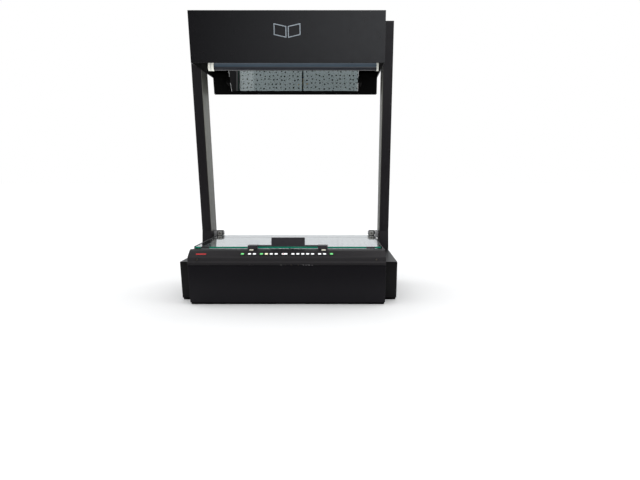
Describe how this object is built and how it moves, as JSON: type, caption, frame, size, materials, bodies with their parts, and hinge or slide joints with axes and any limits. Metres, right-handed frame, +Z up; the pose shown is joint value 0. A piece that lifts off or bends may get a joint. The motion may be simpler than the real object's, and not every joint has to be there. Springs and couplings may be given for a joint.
{
  "type": "overhead book scanner",
  "caption": "Overhead book scanner with a keyed console, a see-saw book cradle under hinged glass, leaning arms and a scan head.",
  "frame": {"origin": "on the supporting surface, below the middle of the bounding box", "axes": "+Z up, the operator's side faces -Y, +X to the operator's right"},
  "size_m": [0.873, 0.66, 1.1828],
  "materials": {
    "shell": "satin powder coat",
    "front_sheet": "satin powder coat",
    "console_coat": "fine satin coat",
    "deck_coat": "fine satin coat",
    "head_coat": "satin coat",
    "inner_black": "dead matt black",
    "arm_coat": "satin coat",
    "liner_coat": "satin grey",
    "perforated_grey": "matt grey with dark perforations",
    "clear_glass": "polished",
    "lamp_glass": "satin",
    "silvered": "polished",
    "steel": "turned",
    "zinc": "plated",
    "aluminium": "anodised",
    "black_plastic": "moulded",
    "board_green": "solder resist",
    "brass_gear": "machined",
    "rubber": "matt",
    "key_white": "lit",
    "key_green": "lit",
    "key_yellow": "lit"
  },
  "bodies": {
    "base": {"base_tray": "inner_black", "front_panel": "front_sheet", "side_cover_left": "shell", "side_cover_right": "shell", "deck_frame": "deck_coat", "rear_cover": "shell", "rubber_feet": "rubber", "power_supply": "zinc", "controller_board": "board_green", "power_inlet": "black_plastic", "console_housing": "console_coat", "button_board": "board_green", "guide_rods": "steel", "hinge_brackets": "aluminium", "hinge_pins": "steel", "arm_feet": "arm_coat", "arm_left": "arm_coat", "arm_right": "arm_coat", "arm_liner_left": "liner_coat", "arm_liner_right": "liner_coat", "head_front_panel": "head_coat", "head_cheek_left": "head_coat", "head_cheek_right": "head_coat", "head_top_cover": "head_coat", "rear_hood": "head_coat", "head_floor": "inner_black", "camera_module": "aluminium", "camera_lens": "black_plastic", "mirror_brackets": "inner_black", "cover_screws": "zinc"},
    "glass": {"glass_plate": "clear_glass", "glass_side_arms": "shell", "glass_handle": "shell", "handle_clamps": "shell"},
    "pinion": {"balance_pinion": "brass_gear"},
    "lift_left": {"lift_table_left": "zinc"},
    "lift_right": {"lift_table_right": "zinc"},
    "plate_left": {"cradle_plate_left": "perforated_grey"},
    "plate_right": {"cradle_plate_right": "perforated_grey"},
    "mirror": {"scan_mirror": "silvered", "mirror_carrier": "inner_black"},
    "lamp": {"light_bar": "lamp_glass", "lamp_housing": "inner_black"},
    "rocker": {"power_rocker": "black_plastic"},
    "key_01": {"console_button_01": "key_green"},
    "key_02": {"console_button_02": "key_white"},
    "key_03": {"console_button_03": "key_white"},
    "key_04": {"console_button_04": "key_green"},
    "key_05": {"console_button_05": "key_yellow"},
    "key_06": {"console_button_06": "key_white"},
    "key_07": {"console_button_07": "key_white"},
    "key_08": {"console_button_08": "key_white"},
    "key_09": {"console_button_09": "key_white"},
    "key_10": {"console_button_10": "key_white"},
    "key_11": {"console_button_11": "key_white"},
    "key_12": {"console_button_12": "key_white"},
    "key_13": {"console_button_13": "key_white"},
    "key_14": {"console_button_14": "key_white"},
    "key_15": {"console_button_15": "key_white"},
    "key_16": {"console_button_16": "key_green"}
  },
  "joints": [
    {"name": "glass_hinge", "type": "hinge", "parent": "base", "child": "glass", "pos_m": [0, 0.232, 0.236], "axis": [-1, 0, 0], "range_deg": [0, 70]},
    {"name": "cradle_lift_left", "type": "slide", "parent": "base", "child": "lift_left", "axis": [0, 0, 1], "range_m": [-0.01, 0.01]},
    {"name": "cradle_lift_right", "type": "slide", "parent": "base", "child": "lift_right", "axis": [0, 0, 1], "range_m": [-0.01, 0.01]},
    {"name": "pinion_turn", "type": "hinge", "parent": "base", "child": "pinion", "pos_m": [0, -0.026, 0.12], "axis": [0, 1, 0], "range_deg": [-20, 20]},
    {"name": "plate_slide_left", "type": "slide", "parent": "lift_left", "child": "plate_left", "axis": [-1, 0, 0], "range_m": [0, 0.009]},
    {"name": "plate_slide_right", "type": "slide", "parent": "lift_right", "child": "plate_right", "axis": [1, 0, 0], "range_m": [0, 0.009]},
    {"name": "mirror_tilt", "type": "hinge", "parent": "base", "child": "mirror", "pos_m": [0, 0.0945, 0.9405], "axis": [-1, 0, 0], "range_deg": [0, 24]},
    {"name": "lamp_tilt", "type": "hinge", "parent": "base", "child": "lamp", "pos_m": [0, 0.028, 0.991], "axis": [-1, 0, 0], "range_deg": [0, 48]},
    {"name": "power_switch", "type": "hinge", "parent": "base", "child": "rocker", "pos_m": [0.236, 0.32, 0.0915], "axis": [-1, 0, 0], "range_deg": [0, 8]},
    {"name": "key_press_01", "type": "slide", "parent": "base", "child": "key_01", "axis": [0, 0.5286, -0.8489], "range_m": [0, 0.0012], "stiffness_N_per_m": 1500},
    {"name": "key_press_02", "type": "slide", "parent": "base", "child": "key_02", "axis": [0, 0.5286, -0.8489], "range_m": [0, 0.0012], "stiffness_N_per_m": 1500},
    {"name": "key_press_03", "type": "slide", "parent": "base", "child": "key_03", "axis": [0, 0.5286, -0.8489], "range_m": [0, 0.0012], "stiffness_N_per_m": 1500},
    {"name": "key_press_04", "type": "slide", "parent": "base", "child": "key_04", "axis": [0, 0.5286, -0.8489], "range_m": [0, 0.0012], "stiffness_N_per_m": 1500},
    {"name": "key_press_05", "type": "slide", "parent": "base", "child": "key_05", "axis": [0, 0.5286, -0.8489], "range_m": [0, 0.0012], "stiffness_N_per_m": 1500},
    {"name": "key_press_06", "type": "slide", "parent": "base", "child": "key_06", "axis": [0, 0.5286, -0.8489], "range_m": [0, 0.0012], "stiffness_N_per_m": 1500},
    {"name": "key_press_07", "type": "slide", "parent": "base", "child": "key_07", "axis": [0, 0.5286, -0.8489], "range_m": [0, 0.0012], "stiffness_N_per_m": 1500},
    {"name": "key_press_08", "type": "slide", "parent": "base", "child": "key_08", "axis": [0, 0.5286, -0.8489], "range_m": [0, 0.0012], "stiffness_N_per_m": 1500},
    {"name": "key_press_09", "type": "slide", "parent": "base", "child": "key_09", "axis": [0, 0.5286, -0.8489], "range_m": [0, 0.0012], "stiffness_N_per_m": 1500},
    {"name": "key_press_10", "type": "slide", "parent": "base", "child": "key_10", "axis": [0, 0.5286, -0.8489], "range_m": [0, 0.0012], "stiffness_N_per_m": 1500},
    {"name": "key_press_11", "type": "slide", "parent": "base", "child": "key_11", "axis": [0, 0.5286, -0.8489], "range_m": [0, 0.0012], "stiffness_N_per_m": 1500},
    {"name": "key_press_12", "type": "slide", "parent": "base", "child": "key_12", "axis": [0, 0.5286, -0.8489], "range_m": [0, 0.0012], "stiffness_N_per_m": 1500},
    {"name": "key_press_13", "type": "slide", "parent": "base", "child": "key_13", "axis": [0, 0.5286, -0.8489], "range_m": [0, 0.0012], "stiffness_N_per_m": 1500},
    {"name": "key_press_14", "type": "slide", "parent": "base", "child": "key_14", "axis": [0, 0.5286, -0.8489], "range_m": [0, 0.0012], "stiffness_N_per_m": 1500},
    {"name": "key_press_15", "type": "slide", "parent": "base", "child": "key_15", "axis": [0, 0.5286, -0.8489], "range_m": [0, 0.0012], "stiffness_N_per_m": 1500},
    {"name": "key_press_16", "type": "slide", "parent": "base", "child": "key_16", "axis": [0, 0.5286, -0.8489], "range_m": [0, 0.0012], "stiffness_N_per_m": 1500}
  ],
  "couplings": [
    {"joint": "cradle_lift_right", "follows": "cradle_lift_left", "ratio": -1},
    {"joint": "pinion_turn", "follows": "cradle_lift_left", "rad_per_m": 33.333},
    {"joint": "plate_slide_right", "follows": "plate_slide_left", "ratio": 1},
    {"joint": "lamp_tilt", "follows": "mirror_tilt", "ratio": 2}
  ]
}
